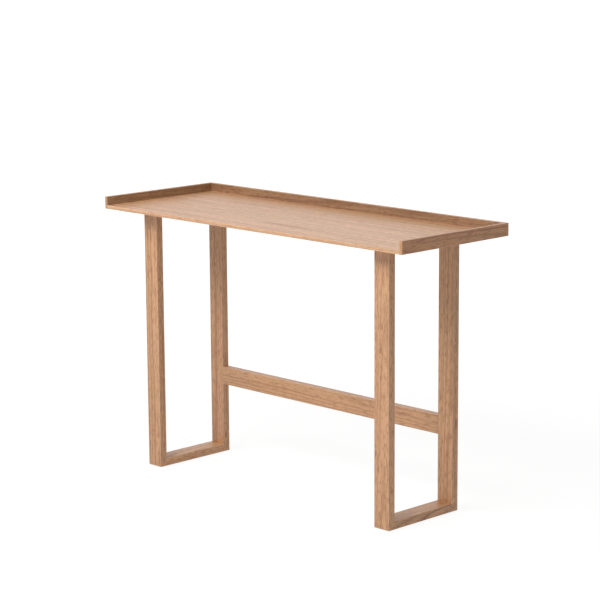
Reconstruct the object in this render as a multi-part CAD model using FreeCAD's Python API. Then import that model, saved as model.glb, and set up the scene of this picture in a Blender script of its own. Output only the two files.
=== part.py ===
import FreeCAD, Part
import os
from FreeCAD import Placement, Rotation, Vector

os.makedirs("parts", exist_ok=True)

# A clerk's standing desk in solid oak: a thin top inside a low three-sided gallery,
# carried by two U-shaped leg frames with mitred feet and one stretcher at the back.
# X runs along the desk, Y from the open front to the back, Z up from the floor.
# The origin is on the floor, below the middle of the desk. All sizes in millimetres.

# ---- the whole desk
desk_length = 1325.0            # over the two end boards
desk_depth = 470.0              # front edge of the top to the back of the rear board
desk_height = 900.0             # floor to the upper edge of the gallery

# ---- top and gallery
top_thickness = 12.0
board_thickness = 11.0
board_height = 40.0
top_arris = 1.0                 # rounding of the edges that hands and sleeves touch
tongue_thickness = 4.0          # tongue round the top, glued into grooves in the boards
tongue_reach = 5.0
tongue_front_stop = 20.0        # the joint stops short of the front, so no end shows it
tongue_corner_stop = 4.0
spline_thickness = 3.0          # hidden feather across each mitred corner of the gallery
spline_width = 10.0
spline_height = 16.0
spline_from_inside = 5.0        # its place in the mitre, from the inner corner

# ---- leg frames and stretcher, all from one section of timber
leg_width = 60.0                # along the desk
leg_depth = 26.0                # front to back
foot_height = 26.0
frame_end_inset = 115.0         # end of the desk to the outer face of a frame
frame_front_inset = 69.0        # front edge of the top to the front legs
frame_rear_inset = 91.0         # back of the desk to the rear legs
frame_arris = 1.2
mitre_tenon_width = 40.0        # loose tenon across each mitred foot corner
mitre_tenon_thickness = 6.0
mitre_tenon_length = 20.0
mitre_tenon_round = 2.5
mitre_tenon_place = 0.6         # 0 is the outer corner of the mitre, 1 the inner one
stretcher_height = 60.0
stretcher_thickness = 26.0
stretcher_underside = 238.0     # above the floor
stretcher_tenon_height = 44.0
stretcher_tenon_thickness = 10.0
stretcher_tenon_length = 28.0

# ---- steel plate that ties each frame together and carries the top
plate_width = 40.0
plate_thickness = 4.0
plate_end_cover = 5.0           # wood left in front of the plate's ends
plate_corner_radius = 4.0
bolt_spacing = 20.0             # two countersunk bolts down into each leg
bolt_radius = 3.0
bolt_length = 18.0
bolt_head_radius = 5.8
bolt_socket_radius = 2.3
bolt_socket_depth = 2.2
insert_radius = 4.8
insert_length = 14.0
insert_flange_radius = 6.0
insert_flange_height = 1.5

# ---- screws that hold the top to the plates; the outer ones stand in slots, so that the
# ---- top can swell and shrink
top_screw_count = 3             # to each plate
top_screw_radius = 2.0
top_screw_grip = 8.0            # length in the top
top_screw_head_radius = 4.0
top_screw_head_height = 2.4
top_screw_crown_radius = 3.0    # the flat of the head inside its sloping rim
screw_tip_radius = 0.5
top_screw_end_space = 30.0      # clear of the legs
slot_travel = 6.0
washer_radius = 5.0
washer_thickness = 1.0
cross_recess_reach = 2.2        # from the screw's axis to the end of an arm
cross_recess_width = 1.0
cross_recess_depth = 1.3

# ---- nylon glides let into the underside of the feet
glide_radius = 10.0
glide_stand = 2.0               # how far a glide lifts the foot off the floor
glide_recess = 3.0
glide_round = 1.2
glide_from_leg_face = 34.0      # from the frame's front and rear faces to a glide's centre
glide_screw_radius = 1.75
glide_screw_head_radius = 3.4
glide_screw_length = 15.0
glide_screw_sink = 0.9          # head below the face that runs on the floor

# ---- small round things are drawn with flat sides
fixing_sides = 12
glide_sides = 20

# ---- clearances
fit_gap = 0.1                   # round a glued joint
end_gap = 0.5                   # at the blind end of a mortise or groove
screw_gap = 0.05
slot_gap = 0.25

# ---- places that follow from the sizes
half_length = desk_length / 2
half_depth = desk_depth / 2
underside = desk_height - board_height
surface = underside + top_thickness
inner_x = half_length - board_thickness
inner_back = half_depth - board_thickness
frame_front = -half_depth + frame_front_inset
frame_back = half_depth - frame_rear_inset
frame_bottom = glide_stand
frame_centre = half_length - frame_end_inset - leg_width / 2
rear_leg_front = frame_back - leg_depth
stretcher_half = frame_centre - leg_width / 2
plate_underside = underside - plate_thickness
tongue_low = underside + (top_thickness - tongue_thickness) / 2
over = 5.0                      # how far a cutting tool runs past the wood


def block(x, y, z):
    """A rectangular block between three pairs of limits."""
    size = [high - low for low, high in (x, y, z)]
    return Part.makeBox(*size, Vector(x[0], y[0], z[0]))


def prism(points, push):
    """A straight solid on a polygon, pushed out along a vector."""
    return Part.Face(Part.makePolygon(points + points[:1])).extrude(push)


def ring(radius, z, x, y, sides):
    """The corners of a level regular polygon."""
    spokes = [Rotation(Vector(0, 0, 1), 360 * i / sides).multVec(Vector(radius, 0, z)) for i in range(sides)]
    return [spoke + Vector(x, y, 0) for spoke in spokes]


def rod(radius, low, high, x=0.0, y=0.0, sides=fixing_sides):
    """An upright round bar between two heights."""
    return prism(ring(radius, low, x, y, sides), Vector(0, 0, high - low))


def taper(low_radius, high_radius, low, high, x=0.0, y=0.0, sides=fixing_sides):
    """An upright tapered stud between two heights."""
    bottom = ring(low_radius, low, x, y, sides)
    top = ring(high_radius, high, x, y, sides)
    flats = [[bottom[i - 1], bottom[i], top[i], top[i - 1]] for i in range(sides)]
    faces = [Part.Face(Part.makePolygon(flat + flat[:1])) for flat in flats + [bottom[::-1], top]]
    return Part.makeSolid(Part.makeShell(faces))


def same(a, b):
    return abs(a - b) < 1e-6


def round_edges(solid, radius, wanted):
    """Round the straight edges whose two ends pass the test."""
    edges = [e for e in solid.Edges if wanted(e.Vertexes[0].Point, e.Vertexes[-1].Point)]
    return solid.makeFillet(radius, edges)


def save(name, *solids):
    shape = solids[0] if len(solids) == 1 else Part.makeCompound(list(solids))
    shape.exportStep("parts/" + name + ".step")
    print(name, len(shape.Solids), "solid(s)", round(shape.Volume / 1000, 2), "cm3", shape.isValid())


# ------------------------------------------------------------------ top and gallery

def top_screw_places():
    """Where the screws of one plate stand, front to back."""
    first = frame_front + leg_depth + top_screw_end_space
    last = rear_leg_front - top_screw_end_space
    step = (last - first) / (top_screw_count - 1)
    return [first + i * step for i in range(top_screw_count)]


def tongues(gap, deeper):
    """The tongue on the ends and the back of the top, or its groove with a gap added."""
    z = (tongue_low - gap, tongue_low + tongue_thickness + gap)
    ends_y = (-half_depth + tongue_front_stop - gap, inner_back - tongue_corner_stop + gap)
    back_x = inner_x - tongue_corner_stop + gap
    reach = tongue_reach + deeper
    left = block((-inner_x - reach, -inner_x), ends_y, z)
    right = block((inner_x, inner_x + reach), ends_y, z)
    back = block((-back_x, back_x), (inner_back, inner_back + reach), z)
    return [left, right, back]


def make_desktop():
    panel = block((-inner_x, inner_x), (-half_depth, inner_back), (underside, surface))
    panel = round_edges(panel, top_arris, lambda a, b: same(a.y, -half_depth) and same(b.y, -half_depth)
                        and same(a.z, b.z))
    panel = panel.fuse(tongues(0.0, 0.0)).removeSplitter()
    pilots = [rod(top_screw_radius + screw_gap, underside - over, underside + top_screw_grip + end_gap,
                  side * frame_centre, y) for side in (-1, 1) for y in top_screw_places()]
    return panel.cut(pilots)


def gallery_blank():
    """The three boards before they are parted at the mitres."""
    z = (underside, desk_height)
    blank = block((-half_length, half_length), (-half_depth, half_depth), z)
    blank = blank.cut(block((-inner_x, inner_x), (-half_depth - over, inner_back), z))

    def touched(a, b):
        on_top = same(a.z, desk_height) and same(b.z, desk_height)
        outside = [same(abs(p.x), half_length) or same(p.y, half_depth) for p in (a, b)]
        return on_top or all(outside) and (same(a.z, b.z) or same(abs(a.x), half_length))
    return round_edges(blank, top_arris, touched)


def corner_spline(side, gap):
    """The feather across one mitred corner; side is -1 on the left, 1 on the right."""
    half_width = spline_width / 2 + (end_gap if gap else 0.0)
    half_thick = spline_thickness / 2 + gap
    low = (surface + desk_height - spline_height) / 2 - gap
    feather = block((-half_width, half_width), (-half_thick, half_thick), (0, spline_height + 2 * gap))
    feather.rotate(Vector(0, 0, 0), Vector(0, 0, 1), -45 * side)
    feather.translate(Vector(side * (inner_x + spline_from_inside), inner_back + spline_from_inside, low))
    return feather


def make_gallery():
    blank = gallery_blank()
    up = Vector(0, 0, board_height + 2 * over)
    low = underside - over
    boards = {}
    for name, side in (("left", -1), ("right", 1)):
        corners = [(side * (half_length + over), -half_depth - over), (side * inner_x, -half_depth - over),
                   (side * inner_x, inner_back), (side * (half_length + over), half_depth + over)]
        boards[name] = blank.common(prism([Vector(x, y, low) for x, y in corners], up))
    corners = [(-half_length - over, half_depth + over), (-inner_x, inner_back),
               (inner_x, inner_back), (half_length + over, half_depth + over)]
    boards["rear"] = blank.common(prism([Vector(x, y, low) for x, y in corners], up))
    cuts = tongues(fit_gap, end_gap) + [corner_spline(-1, fit_gap), corner_spline(1, fit_gap)]
    return {name: board.cut(cuts) for name, board in boards.items()}


# ------------------------------------------------------------------ leg frames

def frame_blank():
    """One U-shaped frame before it is parted at its mitres, centred on x = 0."""
    x = (-leg_width / 2, leg_width / 2)
    blank = block(x, (frame_front, frame_back), (frame_bottom, underside))
    blank = blank.cut(block(x, (frame_front + leg_depth, rear_leg_front),
                            (frame_bottom + foot_height, underside + over)))

    def long_edge(a, b):
        at_face = same(abs(a.x), leg_width / 2) and same(a.x, b.x)
        at_top = same(a.z, underside) and same(b.z, underside)
        outer_corner = same(a.z, frame_bottom) and same(b.z, frame_bottom)
        return (at_face and not at_top) or outer_corner
    return round_edges(blank, frame_arris, long_edge)


def mitre_corner(rear):
    """Outer corner of a foot mitre, and the two directions to its inner corner."""
    outer = Vector(0, frame_back if rear else frame_front, frame_bottom)
    along = Vector(0, -leg_depth if rear else leg_depth, foot_height)
    return outer, along


def mitre_tenon(rear, gap):
    """A round-edged loose tenon square across one mitre, centred on x = 0."""
    outer, along = mitre_corner(rear)
    width = mitre_tenon_width + 2 * gap
    thick = mitre_tenon_thickness + 2 * gap
    length = mitre_tenon_length + (2 * end_gap if gap else 0.0)
    tenon = block((-width / 2, width / 2), (-thick / 2, thick / 2), (-length / 2, length / 2))
    tenon = round_edges(tenon, mitre_tenon_round + gap, lambda a, b: not same(a.z, b.z))
    across = Vector(0, along.z, -along.y)
    tenon.Placement = Placement(outer + along * mitre_tenon_place, Rotation(Vector(0, 0, 1), across))
    return tenon


def split_frame(blank):
    """Part the blank into front leg, rear leg and foot, all with 45 degree ends."""
    push = Vector(leg_width + 2 * over, 0, 0)
    start = -leg_width / 2 - over
    past = over / leg_depth
    front_out, front_in = mitre_corner(False)
    rear_out, rear_in = mitre_corner(True)
    corner = {"front": (front_out - front_in * past, front_out + front_in),
              "rear": (rear_out - rear_in * past, rear_out + rear_in)}
    pieces = {}
    for name, (low, inner) in corner.items():
        tall = underside + over
        outline = [low, inner, Vector(0, inner.y, tall), Vector(0, low.y, tall)]
        pieces[name] = blank.common(prism([Vector(start, p.y, p.z) for p in outline], push))
    outline = [corner["front"][0], corner["front"][1], corner["rear"][1], corner["rear"][0]]
    pieces["foot"] = blank.common(prism([Vector(start, p.y, p.z) for p in outline], push))
    return pieces


def bolt_places():
    """The four bolts of a plate: x from the frame's middle, y across the desk."""
    return [(side * bolt_spacing / 2, y) for y in (frame_front + leg_depth / 2, frame_back - leg_depth / 2)
            for side in (-1, 1)]


def glide_places():
    return [frame_front + glide_from_leg_face, frame_back - glide_from_leg_face]


def plate_outline(grow, low, high):
    """The steel plate's rounded rectangle as a solid between two heights."""
    x = plate_width / 2 + grow
    y = (frame_front + plate_end_cover - grow, frame_back - plate_end_cover + grow)
    plate = block((-x, x), y, (low, high))
    return round_edges(plate, plate_corner_radius, lambda a, b: not same(a.z, b.z))


def make_frame_woods(side):
    """Two legs and a foot of one frame, with every recess that they hold."""
    pieces = split_frame(frame_blank())
    housing = plate_outline(fit_gap, plate_underside, underside + over)
    holes = [hole for x, y in bolt_places() for hole in insert_holes(x, y)]
    tenons = [mitre_tenon(rear, fit_gap) for rear in (False, True)]
    glide_holes = [rod(glide_radius + fit_gap, 0, frame_bottom + glide_recess, 0, y, glide_sides)
                   for y in glide_places()]
    pilots = [rod(glide_screw_radius + screw_gap, 0, glide_screw_sink + glide_screw_length + end_gap, 0, y)
              for y in glide_places()]
    inward = -side
    mortise = stretcher_tenon(inward, fit_gap, leg_width / 2 * inward)
    front = pieces["front"].cut([housing, tenons[0]] + holes)
    rear = pieces["rear"].cut([housing, tenons[1], mortise] + holes)
    foot = pieces["foot"].cut(tenons + glide_holes + pilots)
    return [piece.translated(Vector(side * frame_centre, 0, 0)) for piece in (front, rear, foot)]


# ------------------------------------------------------------------ stretcher

def stretcher_tenon(facing, gap, shoulder):
    """A tenon, or its mortise with a gap, that runs from the shoulder into the leg."""
    reach = stretcher_tenon_length + (end_gap if gap else 0.0)
    x = sorted((shoulder, shoulder - facing * reach))
    middle_y = rear_leg_front + stretcher_thickness / 2
    middle_z = stretcher_underside + stretcher_height / 2
    y = stretcher_tenon_thickness / 2 + gap
    z = stretcher_tenon_height / 2 + gap
    return block(x, (middle_y - y, middle_y + y), (middle_z - z, middle_z + z))


def make_stretcher():
    rail = block((-stretcher_half, stretcher_half), (rear_leg_front, rear_leg_front + stretcher_thickness),
                 (stretcher_underside, stretcher_underside + stretcher_height))
    rail = round_edges(rail, frame_arris, lambda a, b: not same(a.x, b.x))
    ends = [stretcher_tenon(-side, 0.0, side * stretcher_half) for side in (-1, 1)]
    return rail.fuse(ends).removeSplitter()


# ------------------------------------------------------------------ plates and fixings

def screw_slot(y, travel):
    """The hole for a top screw, drawn out where the screw may travel front to back."""
    radius = top_screw_radius + slot_gap
    z = (plate_underside - over, underside + over)
    if travel == 0:
        return [rod(radius, *z, 0, y)]
    ends = [rod(radius, *z, 0, y + side * travel / 2) for side in (-1, 1)]
    return ends + [block((-radius, radius), (y - travel / 2, y + travel / 2), z)]


def bolt_sink(x, y):
    """The countersink and the hole for one bolt."""
    wide = bolt_head_radius + slot_gap
    narrow = bolt_radius + slot_gap
    return [taper(narrow, wide, underside - wide + narrow, underside, x, y),
            rod(narrow, plate_underside - over, underside, x, y)]


def make_plate():
    """A flat bar with countersinks over the legs and slots for the outer top screws."""
    cuts = [cut for x, y in bolt_places() for cut in bolt_sink(x, y)]
    for i, y in enumerate(top_screw_places()):
        outer = i in (0, top_screw_count - 1)
        cuts += screw_slot(y, slot_travel if outer else 0)
    return plate_outline(0.0, plate_underside, underside).cut(cuts)


def make_bolt(x, y):
    """A countersunk socket bolt, its head flush with the top of the plate."""
    neck = underside - bolt_head_radius + bolt_radius
    head = taper(bolt_radius, bolt_head_radius, neck, underside, x, y)
    shank = rod(bolt_radius, underside - bolt_length, neck, x, y)
    socket = rod(bolt_socket_radius, underside - bolt_socket_depth, underside + over, x, y, 6)
    return head.fuse(shank).removeSplitter().cut(socket)


def make_insert(x, y):
    """A flanged threaded insert in the end of a leg, below the plate."""
    neck = plate_underside - insert_flange_height
    barrel = rod(insert_radius, plate_underside - insert_length, neck, x, y)
    flange = rod(insert_flange_radius, neck, plate_underside, x, y)
    bore = rod(bolt_radius + screw_gap, plate_underside - insert_length - over, plate_underside + over, x, y)
    return barrel.fuse(flange).removeSplitter().cut(bore)


def insert_holes(x, y):
    """What one insert and the tip of its bolt need in the end of a leg."""
    neck = plate_underside - insert_flange_height - fit_gap
    low = min(plate_underside - insert_length, underside - bolt_length) - end_gap
    return [rod(insert_radius + fit_gap, low, neck, x, y),
            rod(insert_flange_radius + fit_gap, neck, plate_underside + over, x, y)]


def cross_recess(y, face):
    """The cross-shaped driver recess in a screw head that faces down."""
    z = (face - over, face + cross_recess_depth)
    arms = ((cross_recess_reach, cross_recess_width / 2), (cross_recess_width / 2, cross_recess_reach))
    return [block((-a, a), (y - b, y + b), z) for a, b in arms]


def make_top_screw(y):
    """A pan-headed screw up through the washer and the plate into the top."""
    seat = plate_underside - washer_thickness
    rim = seat - top_screw_head_height / 2
    face = seat - top_screw_head_height
    tip = underside + top_screw_grip
    head = rod(top_screw_head_radius, rim, seat, 0, y)
    crown = taper(top_screw_crown_radius, top_screw_head_radius, face, rim, 0, y)
    shank = rod(top_screw_radius, seat, tip - top_screw_radius, 0, y)
    point = taper(top_screw_radius, screw_tip_radius, tip - top_screw_radius, tip, 0, y)
    return head.fuse([crown, shank, point]).removeSplitter().cut(cross_recess(y, face))


def make_washer(y):
    low = plate_underside - washer_thickness
    hole = rod(top_screw_radius + slot_gap, low - over, plate_underside + over, 0, y)
    return rod(washer_radius, low, plate_underside, 0, y).cut(hole)


# ------------------------------------------------------------------ glides

def make_glide(y):
    """A nylon disc with a softened running face and a sunk hole for its screw."""
    body = rod(glide_radius, glide_round, glide_stand + glide_recess, 0, y, glide_sides)
    base = taper(glide_radius - glide_round, glide_radius, 0, glide_round, 0, y, glide_sides)
    wide = glide_screw_head_radius + slot_gap
    narrow = glide_screw_radius + slot_gap
    neck = glide_screw_sink + glide_screw_head_radius - glide_screw_radius
    sink = taper(wide, narrow, glide_screw_sink, neck, 0, y)
    well = rod(wide, -over, glide_screw_sink, 0, y)
    hole = rod(narrow, glide_screw_sink, glide_stand + glide_recess + over, 0, y)
    return body.fuse(base).removeSplitter().cut([sink, well, hole])


def make_glide_screw(y):
    """A countersunk screw that holds a glide to the foot."""
    neck = glide_screw_sink + glide_screw_head_radius - glide_screw_radius
    tip = glide_screw_sink + glide_screw_length
    head = taper(glide_screw_head_radius, glide_screw_radius, glide_screw_sink, neck, 0, y)
    shank = rod(glide_screw_radius, neck, tip - glide_screw_radius, 0, y)
    point = taper(glide_screw_radius, screw_tip_radius, tip - glide_screw_radius, tip, 0, y)
    return head.fuse([shank, point]).removeSplitter()


# ------------------------------------------------------------------ build

save("desktop", make_desktop())
for board_name, board_solid in make_gallery().items():
    save(board_name + "_gallery_board", board_solid)
save("gallery_corner_splines", corner_spline(-1, 0.0), corner_spline(1, 0.0))
save("stretcher", make_stretcher())

for frame_name, frame_side in (("left", -1), ("right", 1)):
    place = Vector(frame_side * frame_centre, 0, 0)
    front_leg, rear_leg, foot_rail = make_frame_woods(frame_side)
    save(frame_name + "_front_leg", front_leg)
    save(frame_name + "_rear_leg", rear_leg)
    save(frame_name + "_foot_rail", foot_rail)
    save(frame_name + "_mitre_tenons", *[mitre_tenon(rear, 0.0).translated(place) for rear in (False, True)])
    save(frame_name + "_top_plate", make_plate().translated(place))
    save(frame_name + "_plate_bolts", *[make_bolt(x, y).translated(place) for x, y in bolt_places()])
    save(frame_name + "_leg_inserts", *[make_insert(x, y).translated(place) for x, y in bolt_places()])
    save(frame_name + "_top_screws", *[make_top_screw(y).translated(place) for y in top_screw_places()])
    save(frame_name + "_screw_washers", *[make_washer(y).translated(place) for y in top_screw_places()])
    for glide_name, glide_y in zip(("front", "rear"), glide_places()):
        save(frame_name + "_" + glide_name + "_glide", make_glide(glide_y).translated(place))

save("glide_screws", *[make_glide_screw(y).translated(Vector(side * frame_centre, 0, 0))
                       for side in (-1, 1) for y in glide_places()])
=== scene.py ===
# %% [markdown]
# # A clerk's standing desk in oak
#
# The desk is a thin oak top inside a low gallery on three sides. Two U-shaped frames with
# mitred feet carry it, and one stretcher ties their rear legs. The joiner's shapes come
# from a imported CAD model, in metres, with the floor at Z = 0 and the open front towards -Y.
#
# The frame is loaded first and never moved. This lesson gives each board its own timber,
# swaps the small flat-sided fixings for properly turned ones, and lights the desk.

# %% Load the desk
import math

import bmesh
import bpy
from mathutils import Euler, Matrix, Quaternion, Vector


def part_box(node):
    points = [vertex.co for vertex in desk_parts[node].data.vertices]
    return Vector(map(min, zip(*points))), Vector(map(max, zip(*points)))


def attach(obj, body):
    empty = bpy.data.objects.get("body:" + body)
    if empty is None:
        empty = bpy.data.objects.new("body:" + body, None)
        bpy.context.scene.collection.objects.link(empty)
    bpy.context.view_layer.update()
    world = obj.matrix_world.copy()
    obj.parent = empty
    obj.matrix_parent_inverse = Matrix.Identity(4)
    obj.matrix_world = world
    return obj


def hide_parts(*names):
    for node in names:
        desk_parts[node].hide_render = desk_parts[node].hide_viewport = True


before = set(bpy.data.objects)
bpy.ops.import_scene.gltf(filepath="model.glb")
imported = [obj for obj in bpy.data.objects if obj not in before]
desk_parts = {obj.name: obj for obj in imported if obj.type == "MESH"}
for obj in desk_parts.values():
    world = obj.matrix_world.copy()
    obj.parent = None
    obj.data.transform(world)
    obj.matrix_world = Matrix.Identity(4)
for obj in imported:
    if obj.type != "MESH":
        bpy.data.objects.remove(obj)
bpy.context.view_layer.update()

mm = 0.001


def short(values, digits=3):
    """Numbers rounded for printing."""
    return [round(value, digits) for value in values]


# %% [markdown]
# ## Camera
#
# A long lens far away keeps the upright legs nearly parallel, as in a furniture catalogue.
# The camera could be placed by hand, but a point to aim at, a compass angle, a height angle
# and a distance are easier to read. Azimuth 0 would look straight at the front.

# %% Camera
camera_azimuth = math.radians(45.502)
camera_elevation = math.radians(10.913)
camera_roll = math.radians(-0.385)
camera_distance = 6.7376
aim_point = Vector((0.0074, 0.0, 0.6102))
lens_mm = 127.93
sight_limit = 200.0


def add_object(name, data):
    """A new object in the scene, at the origin."""
    made = bpy.data.objects.new(name, data)
    bpy.context.collection.objects.link(made)
    return made


def direction(azimuth, elevation):
    """The unit vector from the desk towards a compass angle and a height angle."""
    level = math.cos(elevation)
    return Vector((math.sin(azimuth) * level, -math.cos(azimuth) * level, math.sin(elevation)))


def facing(towards, roll=0.0):
    """The rotation that points an object's -Z along a vector, with its Y side up."""
    return towards.to_track_quat("-Z", "Y") @ Quaternion((0, 0, 1), roll)


camera = add_object("camera", bpy.data.cameras.new("camera"))
out = direction(camera_azimuth, camera_elevation)
camera.location = aim_point + out * camera_distance
camera.rotation_euler = facing(-out, camera_roll).to_euler()
camera.data.lens = lens_mm
camera.data.clip_end = sight_limit
bpy.context.scene.camera = camera
print("camera at", short(camera.location))

# %% [markdown]
# ## Studio light
#
# Furniture is usually shot in a white room with large softboxes. The key light hangs high
# in front, so that it lights the top and the faces of the legs, and the top shades the
# upper ends of the rear legs. A weak box low in front lifts the feet, and the room itself
# does the rest. Sun lamps would be simpler, but a box at a real distance also makes what is
# farther back a little darker.

# %% Softboxes
def softbox(name, place, aim, width, height, power):
    """A rectangular lamp that the camera doesn't see, turned towards a point."""
    lamp = bpy.data.lights.new(name, "AREA")
    lamp.shape = "RECTANGLE"
    lamp.size = width
    lamp.size_y = height
    lamp.energy = power
    holder = add_object(name, lamp)
    holder.location = place
    holder.rotation_euler = facing(Vector(aim) - Vector(place)).to_euler()
    holder.visible_camera = False
    return holder


key = softbox("key softbox", place=(-0.3, -2.4, 3.0), aim=(0, 0, 0.7),
              width=3.0, height=1.4, power=90.7)
low_box = softbox("low softbox", place=(0, -1.6, 0.6), aim=(0, 0, 0.6),
                  width=1.8, height=1.1, power=2.0)
print("softboxes:", key.name, "and", low_box.name)

# %% [markdown]
# ## Joining nodes
#
# The room's light and every material are trees of nodes. Small helpers keep the trees
# readable: each adds one node, takes plain numbers or other nodes' outputs, and returns
# what the next step needs.

# %% Node helpers
def join(tree, value, socket):
    """Feed a socket from another socket, or set it to a plain value."""
    if isinstance(value, bpy.types.NodeSocket):
        tree.links.new(value, socket)
    else:
        socket.default_value = value


def put(tree, kind, inputs=None, **options):
    """Add a node, set its options and feed its inputs, by name or by number."""
    made = tree.nodes.new(kind)
    for option, value in options.items():
        setattr(made, option, value)
    for key, value in (inputs or {}).items():
        join(tree, value, made.inputs[key])
    return made


def calc(tree, operation, *values):
    """Arithmetic on numbers."""
    return put(tree, "ShaderNodeMath", dict(enumerate(values)), operation=operation).outputs[0]


def times(tree, first, second):
    """One number times another."""
    return calc(tree, "MULTIPLY", first, second)


def times_plus(tree, value, factor, extra):
    """A number times a factor, plus an extra."""
    return calc(tree, "MULTIPLY_ADD", value, factor, extra)


def ease(tree, value, low, high, start=0.0, end=1.0):
    """Go smoothly from start to end while a value goes from low to high."""
    limits = {"Value": value, "From Min": low, "From Max": high, "To Min": start, "To Max": end}
    made = put(tree, "ShaderNodeMapRange", limits, interpolation_type="SMOOTHSTEP")
    return made.outputs["Result"]


def reckon(tree, operation, *values):
    """Arithmetic on vectors; a length or a dot product comes out as a number."""
    made = put(tree, "ShaderNodeVectorMath", dict(enumerate(values)), operation=operation)
    return made.outputs["Value" if operation in ("LENGTH", "DOT_PRODUCT") else "Vector"]


def scaled(tree, vector, factor):
    """A vector or a colour, times a number."""
    inputs = {0: vector, "Scale": factor}
    return put(tree, "ShaderNodeVectorMath", inputs, operation="SCALE").outputs[0]


def vector_of(tree, x=0.0, y=0.0, z=0.0):
    """A vector from three numbers."""
    return put(tree, "ShaderNodeCombineXYZ", {0: x, 1: y, 2: z}).outputs[0]


def split(tree, vector):
    """The three numbers of a vector."""
    return put(tree, "ShaderNodeSeparateXYZ", {0: vector}).outputs


print("node helpers ready")

# %% [markdown]
# ## White room
#
# The room is a World that gives a soft grey fill, more of it from above than from the
# sides. Rays from the camera, reflections and glass see it as white, so that the background
# is clean and metal mirrors a bright room.

# %% White room
wall_fill = 0.186
ceiling_fill = 0.643


def looked_at(tree):
    """1 for a ray from the camera, a reflection or glass, and 0 for light that bounces."""
    ray = put(tree, "ShaderNodeLightPath").outputs
    mirrored = calc(tree, "MAXIMUM", ray["Is Glossy Ray"], ray["Is Transmission Ray"])
    return calc(tree, "MAXIMUM", ray["Is Camera Ray"], mirrored)


room = bpy.data.worlds.new("white room")
bpy.context.scene.world = room
room.use_nodes = True
tree = room.node_tree
upward = split(tree, put(tree, "ShaderNodeTexCoord").outputs["Generated"])["Z"]
fill = put(tree, "ShaderNodeMapRange",
           {"Value": upward, "To Min": wall_fill, "To Max": ceiling_fill}).outputs["Result"]
strength = put(tree, "ShaderNodeMix", {0: looked_at(tree), 2: fill, 3: 1.0}).outputs[0]
background = tree.nodes["Background"].inputs
join(tree, (1, 1, 1, 1), background["Color"])
join(tree, strength, background["Strength"])
bpy.context.scene.view_settings.view_transform = "Standard"
print("the room fills with", wall_fill, "from its walls and", ceiling_fill, "from its ceiling")

# %% [markdown]
# ## Floor
#
# The floor is a large flat sheet, so a horizon never shows. The light it bounces comes from
# plain matt white. To the camera, and in reflections and glass, it adds a glow to a dimmer
# matt part: together they are white where nothing shades the floor, and the shadow stays.
# Far out, where the lamps fade, the glow alone rises to white. Seen from below the floor is
# clear, so the underside can be looked at.

# %% Floor
def shade(red, green, blue):
    """A colour from 0 to 255 values, as the linear numbers that Blender mixes."""
    levels = [value / 255 for value in (red, green, blue)]
    linear = [v / 12.92 if v <= 0.04045 else ((v + 0.055) / 1.055) ** 2.4 for v in levels]
    return (*linear, 1.0)


floor_reach = 90.0
floor_white = shade(230, 230, 230)
floor_matt = shade(104, 104, 104)
floor_glow = 0.90
lamps_reach = (0.8, 3.2)

floor_mesh = bpy.data.meshes.new("floor")
corners = [(x * floor_reach, y * floor_reach, 0) for x, y in ((-1, -1), (1, -1), (1, 1), (-1, 1))]
floor_mesh.from_pydata(corners, [], [(0, 1, 2, 3)])
floor = add_object("floor", floor_mesh)


def new_material(name):
    """A new material, its emptied tree, and the coordinates of the piece that wears it."""
    material = bpy.data.materials.new(name)
    material.use_nodes = True
    tree = material.node_tree
    tree.nodes.clear()
    return material, tree, put(tree, "ShaderNodeTexCoord").outputs


white_floor, tree, coords = new_material("white floor")
bounce = put(tree, "ShaderNodeBsdfDiffuse", {"Color": floor_white})
away = reckon(tree, "LENGTH", coords["Object"])
glow = put(tree, "ShaderNodeEmission", {
    "Color": (1, 1, 1, 1), "Strength": ease(tree, away, *lamps_reach, floor_glow, 1.0)})
dim = put(tree, "ShaderNodeBsdfDiffuse", {"Color": floor_matt})
seen = put(tree, "ShaderNodeAddShader", {0: dim.outputs[0], 1: glow.outputs[0]})
above = put(tree, "ShaderNodeMixShader",
            {0: looked_at(tree), 1: bounce.outputs[0], 2: seen.outputs[0]})
clear = put(tree, "ShaderNodeBsdfTransparent")
below = put(tree, "ShaderNodeNewGeometry").outputs["Backfacing"]
sides = put(tree, "ShaderNodeMixShader", {0: below, 1: above.outputs[0], 2: clear.outputs[0]})
put(tree, "ShaderNodeOutputMaterial", {"Surface": sides.outputs[0]})
floor_mesh.materials.append(white_floor)
print("floor", 2 * floor_reach, "m across")

# %% [markdown]
# ## Patterns and groups
#
# All the finishes below are worked out from the position on the desk, so they fit round
# corners without a seam. An effect that several finishes share is a node group: it is built
# once, with named inputs, and each material places it with its own values.

# %% Pattern and group helpers
def tint(tree, share, first, second, blend_type="MIX"):
    """Mix two colours."""
    made = put(tree, "ShaderNodeMix", {0: share, 6: first, 7: second},
               data_type="RGBA", blend_type=blend_type)
    return made.outputs[2]


def cloud(tree, position, waves, detail=2.0, roughness=0.5):
    """Soft random values from 0 to 1, with one number of waves a metre, or one for each way."""
    each_way = waves if isinstance(waves, tuple) else (waves, waves, waves)
    stretched = reckon(tree, "MULTIPLY", position, each_way)
    inputs = {"Vector": stretched, "Scale": 1.0, "Detail": detail, "Roughness": roughness}
    return put(tree, "ShaderNodeTexNoise", inputs).outputs


def group_of(name, inputs, outputs):
    """A new shader node group, with its input sockets and output sockets by name."""
    group = bpy.data.node_groups.new(name, "ShaderNodeTree")
    for label, value in inputs.items():
        kind = "Float" if isinstance(value, float) else ("Vector" if len(value) == 3 else "Color")
        socket = group.interface.new_socket(label, in_out="INPUT", socket_type="NodeSocket" + kind)
        socket.default_value = value
    for label, kind in outputs.items():
        group.interface.new_socket(label, in_out="OUTPUT", socket_type="NodeSocket" + kind)
    given = group.nodes.new("NodeGroupInput").outputs
    return group, given, group.nodes.new("NodeGroupOutput").inputs


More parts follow.
